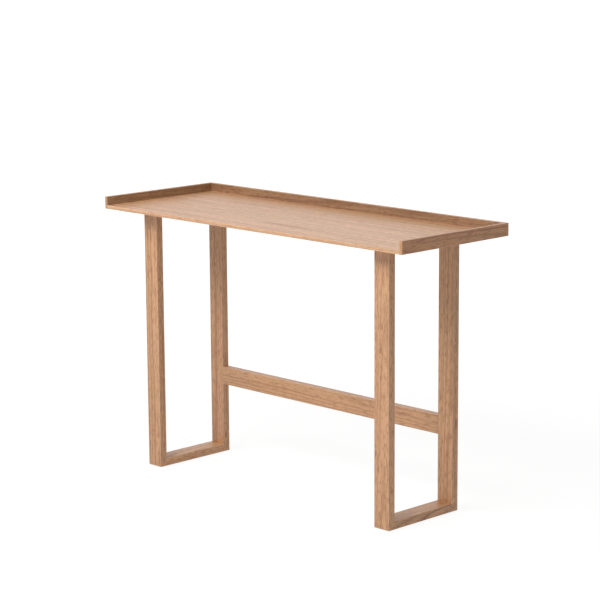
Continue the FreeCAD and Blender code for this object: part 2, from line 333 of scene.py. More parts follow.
def use_group(tree, group, values):
    """Place a node group with its own values."""
    made = put(tree, "ShaderNodeGroup", node_tree=group)
    for label, value in values.items():
        join(tree, value, made.inputs[label])
    return made.outputs


print("pattern and group helpers ready")

# %% [markdown]
# ## Timber as a solid
#
# A picture of wood wrapped round a board never turns the corner rightly. Here each board is
# cut from a make-believe log instead: X runs up the trunk and the pith lies on the X axis.
# Rings are distances from the pith, so a face near them shows arches, a face across them
# shows straight lines, and an end shows arcs, all from one tree of nodes. Oak also has open
# pores in its spring wood, seen as dark dashes, and rays that run out from the pith.

# %% Timber log and rings
timber_inputs = {
    "Position": (0.0, 0.0, 0.0), "Seed": 0.0, "Ring Width": 0.005, "Ring Wander": 0.006,
    "Knot Shift": 0.0, "Knot": 0.0, "End": 0.0, "Tone": 1.0, "Warmth": 0.0,
    "Pore Amount": 1.0, "Ray Amount": 1.0, "Ring Contrast": 1.0,
    "Fleck Amount": 1.0, "Streak Amount": 1.0,
    "Wood": shade(210, 160, 118), "Spring Wood": shade(154, 103, 65),
    "Rosy": shade(212, 153, 121), "Olive": shade(187, 147, 102),
    "Pore": shade(92, 57, 34), "Ray": shade(217, 172, 129), "End Tint": (0.80, 0.70, 0.62, 1.0),
}
timber_outputs = {"Color": "Color", "Roughness": "Float", "Height": "Float"}
timber, given, result = group_of("timber", timber_inputs, timber_outputs)

seed_stride = (7.3, 2.9, 4.1)
wander_waves = (1.5, 9.0, 9.0)
weather_pace = 0.37
weather_delay = 1.6
spring_over = 0.50
autumn_over = 0.90
poor_year = 0.3

seed_step = vector_of(timber, given["Seed"], given["Seed"], given["Seed"])
spot = reckon(timber, "ADD", given["Position"], reckon(timber, "MULTIPLY", seed_step, seed_stride))
wander = cloud(timber, spot, wander_waves)["Color"]
stray = reckon(timber, "MULTIPLY_ADD", wander, (0, 2, 2), (0, -1, -1))
in_log = reckon(timber, "ADD", given["Position"], scaled(timber, stray, given["Ring Wander"]))
log_axes = split(timber, in_log)

from_pith = reckon(timber, "LENGTH", reckon(timber, "MULTIPLY", in_log, (0, 1, 1)))
years = calc(timber, "DIVIDE", calc(timber, "ADD", from_pith, given["Knot Shift"]),
             given["Ring Width"])
weather = put(timber, "ShaderNodeTexNoise",
              {"W": times(timber, years, weather_pace), "Scale": 1.0}, noise_dimensions="1D")
age = times_plus(timber, weather.outputs["Fac"], weather_delay, years)
season = calc(timber, "FRACT", age)
spring = calc(timber, "MAXIMUM", ease(timber, season, 0.0, spring_over, 1.0, 0.0),
              ease(timber, season, autumn_over, 1.0))
luck = put(timber, "ShaderNodeTexWhiteNoise", {"W": calc(timber, "FLOOR", age)},
           noise_dimensions="1D").outputs["Value"]
ring = times(timber, spring, times_plus(timber, luck, 1.0 - poor_year, poor_year))
ring = times(timber, ring, given["Ring Contrast"])
print("timber group: log and rings,", len(timber.nodes), "nodes")

# %% [markdown]
# Pores and fibres are long and thin. A cell pattern squeezed tightly across the trunk and
# drawn out along it gives them, and on an end face the same cells are cut across and become
# dots. Rays use a position turned into angle and distance, so that they point at the pith.

# %% Timber pores, rays and streaks
pore_waves = (55, 1500, 1500)
fleck_waves = (38.0, 320.0, 320.0)
ray_waves = (55.0, 95.0, 60.0)
streak_waves = (1.3, 85.0, 85.0)
plume_waves = (0.8, 14.0, 14.0)
fibre_waves = (30.0, 2200.0, 2200.0)
pores_always, pores_in_flecks, pores_in_spring = 0.10, 0.35, 0.60
cell_rim, cell_heart = 0.42, 0.18
fleck_from, fleck_full = 0.50, 0.62
ray_from, ray_full = 0.60, 0.70

stretched = reckon(timber, "MULTIPLY", spot, pore_waves)
cells = put(timber, "ShaderNodeTexVoronoi", {"Vector": stretched, "Scale": 1.0})
open_cell = ease(timber, cells.outputs["Distance"], cell_rim, cell_heart)
crowd = cloud(timber, spot, fleck_waves, detail=3.0, roughness=0.65)["Fac"]
flecks = times(timber, ease(timber, crowd, fleck_from, fleck_full), given["Fleck Amount"])
pore_share = times_plus(timber, flecks, pores_in_flecks, pores_always)
pore_share = times_plus(timber, spring, pores_in_spring, pore_share)
pores = times(timber, times(timber, open_cell, pore_share), given["Pore Amount"])

angle = calc(timber, "ARCTAN2", log_axes[2], log_axes[1])
round_pith = vector_of(timber, log_axes[0], angle, from_pith)
ray_noise = cloud(timber, round_pith, ray_waves, detail=1.0)["Fac"]
rays = times(timber, ease(timber, ray_noise, ray_from, ray_full), given["Ray Amount"])

streak = split(timber, cloud(timber, spot, streak_waves, detail=3.0, roughness=0.55)["Color"])
plumes = cloud(timber, spot, plume_waves)["Fac"]
fibres = cloud(timber, spot, fibre_waves, detail=1.0)["Fac"]
print("timber group: pores, rays and streaks,", len(timber.nodes), "nodes")

# %% [markdown]
# The masks now tint the wood, from broad to fine: plumes across a board, rosy and olive
# streaks, rings, flecks, rays, then pores. Streak Amount makes the streaks of one board
# stronger or weaker. The cut ends of the fibres drink more oil, so End Tint makes an end
# darker and warmer, unless it was sealed first. Height follows the pores, which is what a
# fingertip feels.

# %% Timber colours
plume_share = 0.45
streak_edge = 0.10
streak_layers = ((0, "Rosy", 0.50, 0.55), (1, "Olive", 0.50, 0.70), (2, "Spring Wood", 0.55, 0.50))
fine_layers = ((ring, "Spring Wood", 0.75), (flecks, "Spring Wood", 0.80), (rays, "Ray", 0.45),
               (pores, "Pore", 0.70), (given["Knot"], "Pore", 0.80))
untinted = (1, 1, 1, 1)
warm_tint = (1.0, 0.87, 0.71, 1)
satin = 0.38
fibre_height = 0.15
roughness_changes = ((fibres, 0.10), (pores, 0.22), (ring, 0.06), (rays, -0.08))
height_changes = ((pores, -0.8), (ring, -0.12))

olive_share = ease(timber, plumes, 0.30, 0.70, 0.0, plume_share)
colour = tint(timber, olive_share, given["Wood"], given["Olive"])
for number, label, start, strongest in streak_layers:
    share = ease(timber, streak[number], start, start + streak_edge, 0.0, strongest)
    share = times(timber, share, given["Streak Amount"])
    colour = tint(timber, share, colour, given[label])
for mask, label, strongest in fine_layers:
    colour = tint(timber, times(timber, mask, strongest), colour, given[label])
for share, full in ((given["End"], given["End Tint"]), (given["Warmth"], warm_tint)):
    colour = tint(timber, 1.0, colour, tint(timber, share, untinted, full), "MULTIPLY")
join(timber, scaled(timber, colour, given["Tone"]), result["Color"])

roughness = satin
for mask, change in roughness_changes:
    roughness = times_plus(timber, mask, change, roughness)
join(timber, roughness, result["Roughness"])
height = times(timber, fibres, fibre_height)
for mask, change in height_changes:
    height = times_plus(timber, mask, change, height)
join(timber, height, result["Height"])
print("timber group done,", len(timber.nodes), "nodes")

# %% [markdown]
# ## Pale edges: wear and painted highlight
#
# Hands and cloths burnish an edge, so it turns a little smoother; its paler colour is partly
# that wear and partly a painted highlight, where a rounded arris catches the light. The
# distance to the nearest edge of a box-shaped board is the middle one of the three distances
# to its faces. Wear is never even, so a soft pattern widens and narrows it.

# %% Edge wear and painted highlight group
wear_and_highlight_inputs = {"Offset": (0.0, 0.0, 0.0), "Half Size": (0.1, 0.1, 0.1), "Reach": 0.003}
wear_and_highlight, given, result = group_of("edge wear", wear_and_highlight_inputs, {"Mask": "Float"})
patch_waves = 22.0
least_worn, most_worn = 0.4, 1.4

inset = reckon(wear_and_highlight, "SUBTRACT", given["Half Size"], reckon(wear_and_highlight, "ABSOLUTE", given["Offset"]))
gap = split(wear_and_highlight, inset)
least = calc(wear_and_highlight, "MINIMUM", calc(wear_and_highlight, "MINIMUM", gap[0], gap[1]), gap[2])
most = calc(wear_and_highlight, "MAXIMUM", calc(wear_and_highlight, "MAXIMUM", gap[0], gap[1]), gap[2])
total = calc(wear_and_highlight, "ADD", calc(wear_and_highlight, "ADD", gap[0], gap[1]), gap[2])
middle = calc(wear_and_highlight, "SUBTRACT", calc(wear_and_highlight, "SUBTRACT", total, least), most)
patchy = cloud(wear_and_highlight, given["Offset"], patch_waves, detail=3.0)["Fac"]
reach = times(wear_and_highlight, given["Reach"], ease(wear_and_highlight, patchy, 0.3, 0.7, least_worn, most_worn))
near = calc(wear_and_highlight, "SUBTRACT", 1.0, calc(wear_and_highlight, "DIVIDE", middle, reach))
join(wear_and_highlight, ease(wear_and_highlight, near, 0.0, 1.0), result["Mask"])
print("edge wear:", len(wear_and_highlight.nodes), "nodes")

# %% [markdown]
# ## Knots
#
# A knot is a spot where a branch left the trunk: it has a dark rim of bark, and the rings
# bulge round it. A pin knot was cut along the twig, so it is stretched to a dash.

# %% Knot group
knot_inputs = {"Position": (0.0, 0.0, 0.0), "Centre": (9.0, 9.0, 9.0), "Radius": 0.004,
               "Stretch": 2.2}
knot, given, result = group_of("knot", knot_inputs, {"Shift": "Float", "Mask": "Float"})
bulge_fall = -0.12
ring_push = 2.2
core_full, core_dark = 0.6, 0.55
bark_at, bark_dark = 1.05, 0.80
bark_full, bark_gone = 0.05, 0.40

squash = vector_of(knot, calc(knot, "DIVIDE", 1.0, given["Stretch"]), 1.0, 1.0)
away = reckon(knot, "SUBTRACT", given["Position"], given["Centre"])
away = reckon(knot, "LENGTH", reckon(knot, "MULTIPLY", away, squash))
radii = calc(knot, "DIVIDE", away, given["Radius"])
bulge = calc(knot, "POWER", 2.0, times(knot, times(knot, radii, radii), bulge_fall))
join(knot, times(knot, times(knot, bulge, given["Radius"]), ring_push), result["Shift"])
core = ease(knot, radii, 1.0, core_full, 0.0, core_dark)
from_bark = calc(knot, "ABSOLUTE", calc(knot, "SUBTRACT", radii, bark_at))
bark = ease(knot, from_bark, bark_gone, bark_full, 0.0, bark_dark)
join(knot, calc(knot, "MAXIMUM", core, bark), result["Mask"])
print("knot:", len(knot.nodes), "nodes")

# %% [markdown]
# ## Laying a board in its log
#
# A Mapping node turns and shifts a board's place on the desk to its place in the log. The
# grain direction is turned to X, the pith is set beside the board, and a slight tilt makes
# the rings run out of the face, which draws the long arches of a flat-sawn board.

# %% Board in log
quarter_turn = math.pi / 2
turns = {"X": Euler((0, 0, 0)), "Y": Euler((0, 0, -quarter_turn)), "Z": Euler((0, quarter_turn, 0))}
grain_axis = {"X": (1, 0, 0), "Y": (0, 1, 0), "Z": (0, 0, 1)}
end_from, end_full = 0.80, 0.97


def middle_of(part):
    """The middle of a piece's box, and half its size."""
    low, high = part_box(part)
    return (low + high) / 2, (high - low) / 2


def log_place(part, grain, pith, tilt):
    """The rotation and shift from desk to log, with the pith in mm and the tilt in degrees."""
    lean = Euler((0, math.radians(tilt[1]), math.radians(tilt[0]))).to_matrix()
    turned = lean @ turns[grain].to_matrix()
    centre, _ = middle_of(part)
    shift = Vector((0, pith[0] * mm, pith[1] * mm)) - turned @ centre
    return turned.to_euler(), shift


def laid_in_log(tree, coords, rotation, shift):
    """The place in the log of each point of a board."""
    inputs = {"Vector": coords["Object"], "Location": shift, "Rotation": rotation}
    return put(tree, "ShaderNodeMapping", inputs).outputs[0]


def end_mask(tree, coords, grain):
    """1 on the faces that cut across the grain, and 0 on the others."""
    across = reckon(tree, "DOT_PRODUCT", coords["Normal"], grain_axis[grain])
    return ease(tree, calc(tree, "ABSOLUTE", across), end_from, end_full)


print("the stretcher's middle:", short(middle_of("stretcher")[0]))

# %% [markdown]
# ## Oak for each board
#
# Every board gets a material of its own from one recipe. The place in the log, the ring
# width, the tone and the seed change, and some boards have stronger rings or weaker
# streaks, as in any stack. Satin lacquer is the shader's coat: it shows most at a low angle.

# %% Oak recipe
pore_depth = 0.12 * mm
wear_and_highlight_reach = 3.5 * mm
wear_and_highlight_share = 0.35
worn_gloss = -0.05
inside_shade_from, inside_shade_full = 0.3, 0.9
edge_pale_and_highlight = shade(222, 180, 141)
lacquer = {"coat_weight": 0.28, "coat_roughness": 0.32}


def finish_surface(tree, colour, roughness, height, depth, **plain):
    """The Principled shader of a material, with a bump of a real depth in metres."""
    bump = put(tree, "ShaderNodeBump", {"Height": height, "Distance": depth, "Strength": 1.0})
    inputs = {"Base Color": colour, "Roughness": roughness, "Normal": bump.outputs["Normal"]}
    shader = put(tree, "ShaderNodeBsdfPrincipled", inputs)
    for label, value in plain.items():
        shader.inputs[label.replace("_", " ").title()].default_value = value
    put(tree, "ShaderNodeOutputMaterial", {"Surface": shader.outputs[0]})


def oak(part, grain, pith, tilt, ring, tone, seed, more=None, knots=(), inside_shade=None):
    """The oak of one board, with ring, pith and the radius of each knot in mm.

    More holds other inputs of the timber. A knot is a place, a radius and a stretch along
    the grain. Inside shade is a direction and the darker tone painted, as painted shade, on
    the face that looks that way.
    """
    material, tree, coords = new_material("oak " + part.replace("_", " "))
    rotation, shift = log_place(part, grain, pith, tilt)
    laid = laid_in_log(tree, coords, rotation, shift)
    values = {"Position": laid, "Seed": seed, "Ring Width": ring * mm, "Tone": tone,
              "End": end_mask(tree, coords, grain), **(more or {})}
    # Painted shade: the faces that look into the tray get a darker tone than the rest of the board.
    if inside_shade:
        looks_in = reckon(tree, "DOT_PRODUCT", coords["Normal"], inside_shade[0])
        values["Tone"] = ease(tree, looks_in, inside_shade_from, inside_shade_full, tone, inside_shade[1])
    for place, radius, stretch in knots:
        centre = rotation.to_matrix() @ Vector(place) + shift
        spot = use_group(tree, knot, {"Position": laid, "Radius": radius * mm,
                                      "Stretch": stretch, "Centre": centre})
        values["Knot Shift"] = calc(tree, "ADD", spot["Shift"], values.get("Knot Shift", 0.0))
        values["Knot"] = calc(tree, "MAXIMUM", spot["Mask"], values.get("Knot", 0.0))
    wood = use_group(tree, timber, values)
    centre, half = middle_of(part)
    offset = reckon(tree, "SUBTRACT", coords["Object"], centre)
    pale_edge_mask = use_group(tree, wear_and_highlight, {"Offset": offset, "Half Size": half, "Reach": wear_and_highlight_reach})["Mask"]
    # Paler edges: partly wear, partly a painted highlight on the arrises.
    colour = tint(tree, times(tree, pale_edge_mask, wear_and_highlight_share), wood["Color"], edge_pale_and_highlight)
    roughness = times_plus(tree, pale_edge_mask, worn_gloss, wood["Roughness"])
    finish_surface(tree, colour, roughness, wood["Height"], pore_depth, **lacquer)
    return material


def dress(part, material):
    """Give a piece of the frame its finish."""
    for slot in desk_parts[part].material_slots:
        slot.material = material


print("oak recipe ready")

# %% [markdown]
# The boards of the frames are rift sawn, so their faces show fine straight lines. The
# stretcher is flat sawn: its rings run out along the face in long arches. The faces of the
# gallery that look into the tray carry painted shade: their colour is made darker and
# browner. Less light would do that too, but the legs' front faces, which look the same way,
# would darken with it. The front ends of its side boards are pale, as end grain is that was
# sealed before it was oiled.

# %% Oak boards
oak_boards = {
    "left_front_leg": dict(
        grain="Z", pith=(75, 22), tilt=(0.3, 0.4), ring=5.4, tone=0.97, seed=96.9,
        more={"Ring Contrast": 1.2}),
    "left_rear_leg": dict(
        grain="Z", pith=(66, -18), tilt=(-0.5, 0.3), ring=5.8, tone=0.985, seed=97.9,
        more={"Streak Amount": 0.6},
        knots=[((-0.4875, 0.128, 0.057), 3.2, 2.2), ((-0.524, 0.118, 0.646), 2.4, 2.2)]),
    "left_foot_rail": dict(
        grain="Y", pith=(26, 48), tilt=(0.8, 1.5), ring=5.2, tone=1.15, seed=3.0,
        more={"Ring Contrast": 1.5, "Streak Amount": 0.6}),
    "right_front_leg": dict(
        grain="Z", pith=(64, 12), tilt=(0.9, -0.4), ring=5.6, tone=0.985, seed=58.8,
        more={"Streak Amount": 0.5, "Ring Contrast": 0.6, "Olive": shade(198, 152, 110)},
        knots=[((0.494, -0.166, 0.232), 3.0, 2.2), ((0.5212, -0.166, 0.620), 1.5, 3.2),
               ((0.5132, -0.166, 0.5476), 1.8, 3.8)]),
    "right_rear_leg": dict(
        grain="Z", pith=(58, 30), tilt=(0.5, -0.6), ring=6.2, tone=1.05, seed=18.7,
        knots=[((0.5475, 0.134, 0.278), 5.0, 2.2)]),
    "right_foot_rail": dict(
        grain="Y", pith=(-40, 16), tilt=(2.8, 1.0), ring=4.0, tone=0.98, seed=6.0,
        more={"Ring Contrast": 2.0, "Ring Wander": 0.012, "Streak Amount": 0.4}),
    "stretcher": dict(
        grain="X", pith=(-37, -16), tilt=(0.15, -0.3), ring=4.5, tone=0.94, seed=7.0,
        more={"Streak Amount": 0.3, "Fleck Amount": 0.8}),
    "left_gallery_board": dict(
        grain="Y", pith=(60, 14), tilt=(1.0, 0.8), ring=5.0, tone=0.82, seed=8.0,
        more={"Rosy": shade(199, 152, 106), "End Tint": (1.00, 1.03, 1.07, 1.0)},
        inside_shade=((1, 0, 0), 0.62)),
    "right_gallery_board": dict(
        grain="Y", pith=(-52, 16), tilt=(-1.2, 0.9), ring=5.4, tone=0.86, seed=9.0,
        more={"Warmth": 1.0, "Ring Contrast": 1.5, "Streak Amount": 0.7,
              "End Tint": (1.13, 1.26, 1.45, 1.0)},
        inside_shade=((-1, 0, 0), 0.67)),
    "rear_gallery_board": dict(
        grain="X", pith=(54, -16), tilt=(0.4, 0.5), ring=5.2, tone=0.88, seed=10.0,
        more={"Streak Amount": 0.7}, inside_shade=((0, -1, 0), 0.56)),
}
for part, recipe in oak_boards.items():
    dress(part, oak(part, **recipe))
print("oak boards dressed:", len(oak_boards))

# %% [markdown]
# ## The top, glued up from staves
#
# A top this wide is glued from several staves, each from another part of a log. Counting
# staves across the top gives every one its own place in a log and its own tone. The
# joints are tight, so only the figure changes there, with a hairline of glue.

# %% Staves group
staves, given, result = group_of("staves", {"Position": (0.0, 0.0, 0.0), "Stave Width": 0.112},
                                 {"Position": "Vector", "Tone": "Float", "Joint": "Float"})
lot_seed = 3.7
tone_spread, tone_least = 0.12, 0.97
least_deep, deep_spread = 0.055, 0.05
lean_spread, aside_spread, along_spread = 0.05, 0.09, 9.0
joint_from, joint_full = 0.4975, 0.4995

axes = split(staves, given["Position"])
count = calc(staves, "DIVIDE", axes[1], given["Stave Width"])
chance = put(staves, "ShaderNodeTexWhiteNoise",
             {"W": calc(staves, "ADD", calc(staves, "FLOOR", count), lot_seed)},
             noise_dimensions="1D")
lot = split(staves, chance.outputs["Color"])
off_middle = calc(staves, "SUBTRACT", calc(staves, "FRACT", count), 0.5)
within = times(staves, off_middle, given["Stave Width"])
aside = calc(staves, "ADD", within, times_plus(staves, lot[2], aside_spread, -aside_spread / 2))
lean = times(staves, axes[0], times_plus(staves, lot[0], lean_spread, -lean_spread / 2))
deep = calc(staves, "ADD", axes[2], times_plus(staves, lot[1], deep_spread, least_deep))
along = times_plus(staves, lot[0], along_spread, axes[0])
laid = vector_of(staves, along, calc(staves, "ADD", aside, lean), deep)
join(staves, laid, result["Position"])
join(staves, times_plus(staves, chance.outputs["Value"], tone_spread, tone_least), result["Tone"])
edge = calc(staves, "ABSOLUTE", off_middle)
join(staves, ease(staves, edge, joint_from, joint_full), result["Joint"])
print("staves:", len(staves.nodes), "nodes")

# %% [markdown]
# The top gets a little more lacquer than the legs. No gallery board covers its front edge,
# and it is painted paler along its whole length: a painted highlight, where the rounded
# arris catches the light.

# %% The top
top_lacquer = {"coat_weight": 0.36, "coat_roughness": 0.32}
top_wear_and_highlight_reach = 4.0 * mm
top_wear_and_highlight_share = 0.60
front_highlight_from, front_highlight_full = 3.0 * mm, 1.0 * mm
front_highlight_share = 0.45
glue_share = 0.25
wear_and_highlight_pale = shade(226, 185, 148)
glue = shade(112, 74, 50)

top_oak, tree, coords = new_material("oak top")
centre, half = middle_of("desktop")
offset = reckon(tree, "SUBTRACT", coords["Object"], centre)
laid = use_group(tree, staves, {"Position": offset})
wood = use_group(tree, timber, {
    "Position": laid["Position"], "Seed": 11.0, "Ring Width": 4.8 * mm, "Tone": laid["Tone"],
    "End": end_mask(tree, coords, "X"), "Streak Amount": 1.45, "Rosy": shade(216, 162, 135)})
colour = tint(tree, times(tree, laid["Joint"], glue_share), wood["Color"], glue)
pale_edge_mask = use_group(tree, wear_and_highlight, {"Offset": offset, "Half Size": half, "Reach": top_wear_and_highlight_reach})["Mask"]
# Painted highlight: the front edge is painted paler along its whole length.
front_highlight = ease(tree, split(tree, offset)[1], front_highlight_from - half.y, front_highlight_full - half.y)
pale_edge_mask = calc(tree, "MAXIMUM", pale_edge_mask, times(tree, front_highlight, front_highlight_share))
colour = tint(tree, times(tree, pale_edge_mask, top_wear_and_highlight_share), colour, wear_and_highlight_pale)
roughness = times_plus(tree, pale_edge_mask, worn_gloss, wood["Roughness"])
finish_surface(tree, colour, roughness, wood["Height"], pore_depth, **top_lacquer)
dress("desktop", top_oak)
print("the top is dressed in staves")

# %% [markdown]
# ## Beech for the loose tenons and feathers
#
# The hidden joinery is beech: pale, even and dense, with short dark rays and hardly any
# pores. It is the same timber group with other numbers.

# %% Beech
beech_values = {
    "Seed": 20.0, "Ring Width": 3.0 * mm, "Pore Amount": 0.15, "Ring Contrast": 0.5,
    "Fleck Amount": 0.2, "Wood": shade(205, 166, 128), "Spring Wood": shade(188, 146, 108),
    "Rosy": shade(207, 163, 130), "Olive": shade(198, 163, 124), "Ray": shade(150, 104, 72),
    "Pore": shade(140, 100, 72)}


def beech(part, grain):
    """The unlacquered beech of one kind of joint."""
    material, tree, coords = new_material("beech " + part.replace("_", " "))
    laid = laid_in_log(tree, coords, *log_place(part, grain, (70, 40), (0.5, 0.5)))
    ends = end_mask(tree, coords, grain)
    wood = use_group(tree, timber, {"Position": laid, "End": ends, **beech_values})
    finish_surface(tree, wood["Color"], wood["Roughness"], wood["Height"], pore_depth / 3)
    return material


hidden_joints = {"gallery_corner_splines": "Z", "left_mitre_tenons": "Y", "right_mitre_tenons": "Y"}
for part, grain in hidden_joints.items():
    dress(part, beech(part, grain))
print("beech:", list(hidden_joints))

# %% [markdown]
# ## Black powder coat
#
# The two flat bars under the top are steel with a baked powder coat. Powder melts into a
# skin with a fine orange-peel ripple, a faint sparkle, and a slightly uneven gloss.

# %% Powder coat
peel_depth = 0.05 * mm
black_coat, tree, coords = new_material("black powder coat")
place = coords["Object"]
peel = cloud(tree, place, 900.0)["Fac"]
mottle = cloud(tree, place, 60.0, detail=3.0)["Fac"]
sparkle = ease(tree, cloud(tree, place, 3500.0, detail=0.0)["Fac"], 0.68, 0.78)
colour = tint(tree, mottle, shade(28, 28, 30), shade(36, 36, 37))
colour = tint(tree, times(tree, sparkle, 0.25), colour, shade(92, 92, 96))
roughness = times_plus(tree, mottle, 0.16, 0.42)
finish_surface(tree, colour, roughness, peel, peel_depth)
for part in ("left_top_plate", "right_top_plate"):
    dress(part, black_coat)
print("plates are powder coated")

# %% [markdown]
# ## Zinc, brass and nylon
#
# Screws and washers are zinc plated: grey with patches where the plating crystals catch
# the light, and a breath of blue and straw. Inserts are turned brass with fine tool marks.
# The glides are moulded nylon, off-white and a little scuffed where they stand.

# %% Metal finishes
mark_depth = 0.01 * mm


def metal(name, first, second, patch_waves, mark_waves, roughness):
    """A bare metal that drifts between two colours, with fine marks in its surface."""
    material, tree, coords = new_material(name)
    place = coords["Object"]
    patches = cloud(tree, place, patch_waves, detail=3.0)["Fac"]
    marks = cloud(tree, place, mark_waves, detail=1.0)["Fac"]
    colour = tint(tree, ease(tree, patches, 0.35, 0.65), first, second)
    uneven = times_plus(tree, patches, 0.16, times_plus(tree, marks, 0.08, roughness))
    finish_surface(tree, colour, uneven, marks, mark_depth, metallic=1.0)
    return material


zinc = metal("zinc plate", shade(188, 190, 190), shade(205, 202, 190),
             patch_waves=700.0, mark_waves=1500.0, roughness=0.22)
brass = metal("turned brass", shade(206, 170, 98), shade(222, 188, 118),
              patch_waves=300.0, mark_waves=(300.0, 300.0, 6000.0), roughness=0.18)
print("metals:", zinc.name, "and", brass.name)

# %% Nylon
scuff_height = 0.8 * mm
moulding_depth = 0.02 * mm
nylon, tree, coords = new_material("moulded nylon")
place = coords["Object"]
milky = cloud(tree, place, 160.0)["Fac"]
scuff = ease(tree, cloud(tree, place, (90.0, 700.0, 90.0), detail=3.0)["Fac"], 0.55, 0.72)
standing = times(tree, scuff, ease(tree, split(tree, place)[2], scuff_height, 0.0))
colour = tint(tree, milky, shade(214, 211, 202), shade(224, 221, 212))
colour = tint(tree, times(tree, standing, 0.5), colour, shade(150, 144, 134))
roughness = times_plus(tree, standing, 0.2, times_plus(tree, milky, 0.1, 0.36))
moulding = cloud(tree, place, 1200.0)["Fac"]
finish_surface(tree, colour, roughness, moulding, moulding_depth, subsurface_weight=0.15)
print("glides:", nylon.name)

# %% [markdown]
# ## Turned masters
#
# Screws, washers, inserts and glides come off a lathe or out of a round mould. Each is a
# half outline, spun round the Z axis, with its top at Z = 0. One master of each kind is
# enough, because the desk repeats them.

# %% Lathe
def arc(centre, radius, start, end, steps=5):
    """Points of a rounded corner, from one angle in degrees to another."""
    angles = [math.radians(start + (end - start) * i / steps) for i in range(steps + 1)]
    return [(centre[0] + radius * math.cos(a), centre[1] + radius * math.sin(a)) for a in angles]


def shaped(name, shape):
    """Turn a shape's faces outwards and make an object of it."""
    bmesh.ops.recalc_face_normals(shape, faces=shape.faces)
    mesh = bpy.data.meshes.new(name)
    shape.to_mesh(mesh)
    shape.free()
    return add_object(name, mesh)


def turned(name, outline, steps=40):
    """Spin a half outline of (radius, height) in mm round the Z axis."""
    shape = bmesh.new()
    points = [shape.verts.new((radius * mm, 0, height * mm)) for radius, height in outline]
    for first, second in zip(points, points[1:]):
        shape.edges.new((first, second))
    bmesh.ops.spin(shape, geom=shape.verts[:] + shape.edges[:], cent=(0, 0, 0), axis=(0, 0, 1),
                   angle=math.tau, steps=steps)
    bmesh.ops.remove_doubles(shape, verts=shape.verts, dist=0.001 * mm)
    return shaped(name, shape)


print("lathe ready")

# %% [markdown]
# ## Driver recesses
#
# A key or a screwdriver needs a recess with straight walls. Its outline is drawn as corners,
# pushed up into a solid cutter, and taken away from the head of the master.

# %% Recess cutter
def as_mesh(source):
    """The mesh of an object with its modifiers worked in."""
    graph = bpy.context.evaluated_depsgraph_get()
    return bpy.data.meshes.new_from_object(source.evaluated_get(graph), depsgraph=graph)


def sink(master, corners, floor_depth, top_height=1.0):
    """Cut a straight-walled driver recess, drawn as corners in mm, into the top of a master."""
    shape = bmesh.new()
    ring = [shape.verts.new((x * mm, y * mm, -floor_depth * mm)) for x, y in corners]
    pushed = bmesh.ops.extrude_face_region(shape, geom=[shape.faces.new(ring)])
    lifted = [v for v in pushed["geom"] if isinstance(v, bmesh.types.BMVert)]
    bmesh.ops.translate(shape, vec=Vector((0, 0, (floor_depth + top_height) * mm)), verts=lifted)
    cutter = shaped("cutter", shape)
    cut = master.modifiers.new("recess", "BOOLEAN")
    cut.object = cutter
    cut.solver = "EXACT"
    master.data = as_mesh(master)
    master.modifiers.clear()
    bpy.data.objects.remove(cutter)


def hexagon(radius):
    """The outline of a hexagon socket, in mm."""
    angles = [math.tau * i / 6 for i in range(6)]
    return [(radius * math.cos(a), radius * math.sin(a)) for a in angles]


def cross(reach, half_width):
    """The outline of a cross-shaped driver recess, in mm."""
    arm = [(half_width, half_width), (half_width, reach), (-half_width, reach)]
    quarters = [Matrix.Rotation(quarter_turn * i, 2) for i in range(4)]
    return [tuple(turn @ Vector(point)) for turn in quarters for point in arm]


print("recess cutter ready")

# %% [markdown]
# ## Threads from a spiral
#
# A thread is a ridge that winds round the shank. Modelling it by hand would take hundreds
# of points, so a Geometry Nodes tree sweeps a small four-sided section along a spiral. The
# section's inner half sinks into the shank and its outer half is the crest.

# %% Thread tree
def geometry_tree(name, inputs):
    """A new Geometry Nodes tree with its input sockets and the output to feed."""
    tree = bpy.data.node_groups.new(name, "GeometryNodeTree")
    kinds = {float: "Float", int: "Int", tuple: "Vector"}
    for label, value in inputs.items():
        kind = value if isinstance(value, str) else kinds[type(value)]
        socket = tree.interface.new_socket(label, in_out="INPUT", socket_type="NodeSocket" + kind)
        if not isinstance(value, str):
            socket.default_value = value
    tree.interface.new_socket("Geometry", in_out="OUTPUT", socket_type="NodeSocketGeometry")
    given = tree.nodes.new("NodeGroupInput").outputs
    return tree, given, tree.nodes.new("NodeGroupOutput").inputs[0]


def made_real(tree, geometry, finish, socket):
    """End a tree: make its copies real, give them their finish and feed the output."""
    solid = put(tree, "GeometryNodeRealizeInstances", {0: geometry})
    coated = put(tree, "GeometryNodeSetMaterial",
                 {"Geometry": solid.outputs[0], "Material": finish})
    join(tree, coated.outputs[0], socket)


thread_tree, given, thread_out = geometry_tree("thread", {
    "Master": "Object", "Finish": "Material", "Core Radius": 0.0014, "Crest": 0.0006,
    "Pitch": 0.0018, "Length": 0.008, "Bottom": -0.01})
steps_a_turn = 24
section_sides = 4

turns_needed = calc(thread_tree, "DIVIDE", given["Length"], given["Pitch"])
spiral = put(thread_tree, "GeometryNodeCurveSpiral", {
    "Resolution": steps_a_turn, "Rotations": turns_needed, "Start Radius": given["Core Radius"],
    "End Radius": given["Core Radius"], "Height": given["Length"]})
upright = put(thread_tree, "GeometryNodeSetCurveNormal", {"Curve": spiral.outputs[0]}, mode="Z_UP")
section = put(thread_tree, "GeometryNodeCurvePrimitiveCircle",
              {"Resolution": section_sides, "Radius": given["Crest"]})
ridge = put(thread_tree, "GeometryNodeCurveToMesh", {
    "Curve": upright.outputs[0], "Profile Curve": section.outputs["Curve"], "Fill Caps": True})
lift = vector_of(thread_tree, z=given["Bottom"])
wound = put(thread_tree, "GeometryNodeTransform",
            {"Geometry": ridge.outputs[0], "Translation": lift})
body = put(thread_tree, "GeometryNodeObjectInfo", {"Object": given["Master"]})
both = put(thread_tree, "GeometryNodeJoinGeometry")
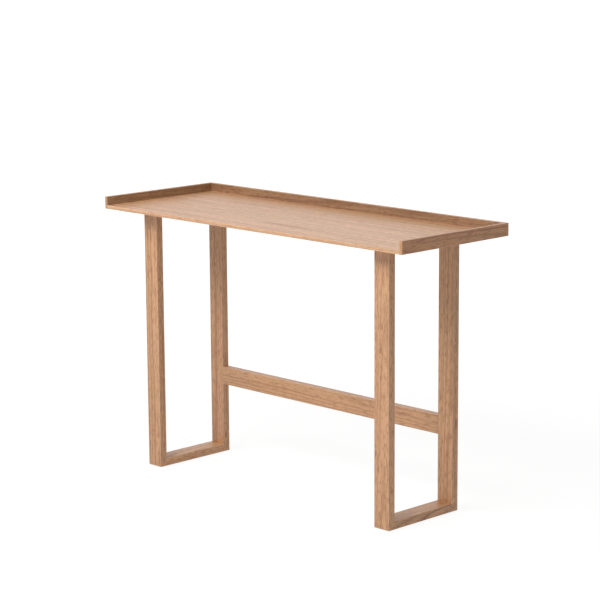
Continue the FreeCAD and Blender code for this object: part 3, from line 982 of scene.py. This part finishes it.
for piece in (wound.outputs[0], body.outputs["Geometry"]):
    thread_tree.links.new(piece, both.inputs[0])
made_real(thread_tree, both.outputs[0], given["Finish"], thread_out)
print("thread tree:", len(thread_tree.nodes), "nodes")

# %% [markdown]
# ## Setting fixings in rows
#
# A second tree sets a master at every place of a small grid, counted from its first place,
# and turns each one by chance, because nobody drives screws to the same angle. A fixed seed
# keeps the angles the same every time. The copies are made real at the end.

# %% Row tree
row_tree, given, row_out = geometry_tree("rows of fixings", {
    "Master": "Object", "Finish": "Material", "First Place": (0.0, 0.0, 0.0), "Columns": 2,
    "Rows": 2, "Column Step": 0.02, "Row Step": 0.28, "Tip Over": 0.0, "Seed": 1})
index = put(row_tree, "GeometryNodeInputIndex").outputs[0]
column = calc(row_tree, "MODULO", index, given["Columns"])
row = calc(row_tree, "FLOOR", calc(row_tree, "DIVIDE", index, given["Columns"]))
step = vector_of(row_tree, times(row_tree, column, given["Column Step"]),
                 times(row_tree, row, given["Row Step"]))
places = put(row_tree, "GeometryNodePoints", {
    "Count": times(row_tree, given["Columns"], given["Rows"]),
    "Position": reckon(row_tree, "ADD", given["First Place"], step)})
chance = put(row_tree, "FunctionNodeRandomValue", {"Seed": given["Seed"]}, data_type="FLOAT")
chance.inputs[3].default_value = math.tau
angle = next(socket for socket in chance.outputs if socket.enabled)
pose = vector_of(row_tree, x=given["Tip Over"], z=angle)
master = put(row_tree, "GeometryNodeObjectInfo", {"Object": given["Master"], "As Instance": True})
copies = put(row_tree, "GeometryNodeInstanceOnPoints", {
    "Points": places.outputs[0], "Instance": master.outputs["Geometry"], "Rotation": pose})
made_real(row_tree, copies.outputs[0], given["Finish"], row_out)


def grown(tree, name, values):
    """Run a Geometry Nodes tree with these inputs and keep the result as a plain mesh."""
    carrier = add_object(name, bpy.data.meshes.new(name))
    modifier = carrier.modifiers.new("tree", "NODES")
    modifier.node_group = tree
    for item in tree.interface.items_tree:
        if item.in_out == "INPUT" and item.name in values:
            modifier[item.identifier] = values[item.name]
    carrier.data = as_mesh(carrier)
    carrier.modifiers.clear()
    return carrier


print("row tree:", len(row_tree.nodes), "nodes")

# %% [markdown]
# ## Fixings of the frames
#
# Each fixing repeats the sizes that the frame's plain version has. The bolts and inserts
# are out of sight between plate and leg, but they are still the real things: a socket bolt
# with a countersunk head, and a flanged insert with a coarse thread that bites the oak.
# Each outline starts at the axis or the bore and goes round the fixing, in mm.

# %% Masters for bolts, inserts, screws and washers
def threaded(master, finish, core, crest, pitch, length, bottom):
    """Wind a thread on a master, sizes in mm, and return the threaded one in its place."""
    made = grown(thread_tree, master.name + " threaded", {
        "Master": master, "Finish": finish, "Core Radius": core * mm, "Crest": (crest - core) * mm,
        "Pitch": pitch * mm, "Length": length * mm, "Bottom": bottom * mm})
    bpy.data.objects.remove(master)
    return made


bolt = turned("bolt", [(0, 0), (5.6, 0), (5.8, -0.2), (2.9, -3.0), (2.5, -3.4), (2.5, -17.4),
                       (2.0, -18), (0, -18)])
sink(bolt, hexagon(2.3), floor_depth=2.2)
bolt = threaded(bolt, zinc, core=2.5, crest=3.0, pitch=1.0, length=13.4, bottom=-17.4)

insert = turned("insert", [(3.05, 0), (5.8, 0), (6.0, -0.2), (6.0, -1.3), (5.8, -1.5),
                           (4.15, -1.5), (4.15, -13.6), (3.9, -14), (3.05, -14), (3.05, 0)])
insert = threaded(insert, brass, core=4.15, crest=4.8, pitch=2.5, length=11.2, bottom=-13.2)

washer = turned("washer", [(2.25, -0.15), (2.4, 0), (4.8, 0), (5.0, -0.2), (5.0, -0.8),
                           (4.8, -1.0), (2.4, -1.0), (2.25, -0.85), (2.25, -0.15)])

dome = [(0, 0)] + arc((2.3, -1.7), 1.7, 90, 0)
screw = turned("screw", dome + [(4.0, -2.4), (1.5, -2.4), (1.5, -13.4), (0.35, -15.4), (0, -15.4)])
sink(screw, cross(2.2, 0.5), floor_depth=1.3)
screw = threaded(screw, zinc, core=1.45, crest=2.0, pitch=1.7, length=8.0, bottom=-13.6)
print("masters:", [m.name for m in (bolt, insert, washer, screw)])

# %% Fixings in place
bolt_rim, insert_rim, screw_rim, washer_rim = 5.8 * mm, 6.0 * mm, 4.0 * mm, 5.0 * mm


def set_rows(name, part, master, finish, rim, grid, seed, from_below=False):
    """Set a master at the places that a node of the frame shows, in place of that node."""
    low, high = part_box(part)
    columns, rows = grid
    made = grown(row_tree, name, {
        "Master": master, "Finish": finish, "Columns": columns, "Rows": rows, "Seed": seed,
        "First Place": (low.x + rim, low.y + rim, low.z if from_below else high.z),
        "Column Step": (high.x - low.x - 2 * rim) / max(columns - 1, 1),
        "Row Step": (high.y - low.y - 2 * rim) / max(rows - 1, 1),
        "Tip Over": math.pi if from_below else 0.0})
    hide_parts(part)
    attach(made, "root")


for number, side in enumerate(("left", "right")):
    set_rows(side + "_bolts", side + "_plate_bolts", bolt, zinc, bolt_rim,
             grid=(2, 2), seed=10 + number)
    set_rows(side + "_inserts", side + "_leg_inserts", insert, brass, insert_rim,
             grid=(2, 2), seed=20 + number)
    set_rows(side + "_screws", side + "_top_screws", screw, zinc, screw_rim,
             grid=(1, 3), seed=30 + number, from_below=True)
    set_rows(side + "_washers", side + "_screw_washers", washer, zinc, washer_rim,
             grid=(1, 3), seed=40 + number, from_below=True)
print("frame fixings set")

# %% [markdown]
# ## Glides under the feet
#
# Four nylon discs lift the feet off the floor. Each is let into the rail and held by a
# countersunk screw, sunk deep enough that steel never meets the floor. They are drawn
# upside down here, with the running face at Z = 0, and tipped over when they are set.

# %% Glides and their screws
running_edge = arc((8.8, -1.2), 1.2, 90, 0)
sunk_hole = [(2.0, -5.0), (2.0, -2.55), (3.65, -0.9), (3.65, -0.25), (3.9, 0)]
glide = turned("glide", sunk_hole + running_edge + [(10.0, -4.7), (9.7, -5.0), (2.0, -5.0)],
               steps=56)
glide_screw = turned("glide screw", [(0, 0), (3.25, 0), (3.4, -0.15), (1.3, -1.9), (1.3, -13.2),
                                     (0.35, -15.0), (0, -15.0)])
sink(glide_screw, cross(1.8, 0.4), floor_depth=1.0)
glide_screw = threaded(glide_screw, zinc, core=1.25, crest=1.75, pitch=1.5, length=10.0,
                       bottom=-13.2)

glide_rim, glide_screw_rim = 10.0 * mm, 3.4 * mm
for number, side in enumerate(("left", "right")):
    for end in ("front", "rear"):
        part = side + "_" + end + "_glide"
        set_rows(part + "_disc", part, glide, nylon, glide_rim,
                 grid=(1, 1), seed=50 + number, from_below=True)
set_rows("glide_fixing_screws", "glide_screws", glide_screw, zinc, glide_screw_rim,
         grid=(2, 2), seed=60, from_below=True)
for master in (bolt, insert, washer, screw, glide, glide_screw):
    bpy.data.objects.remove(master)
print("glides set")
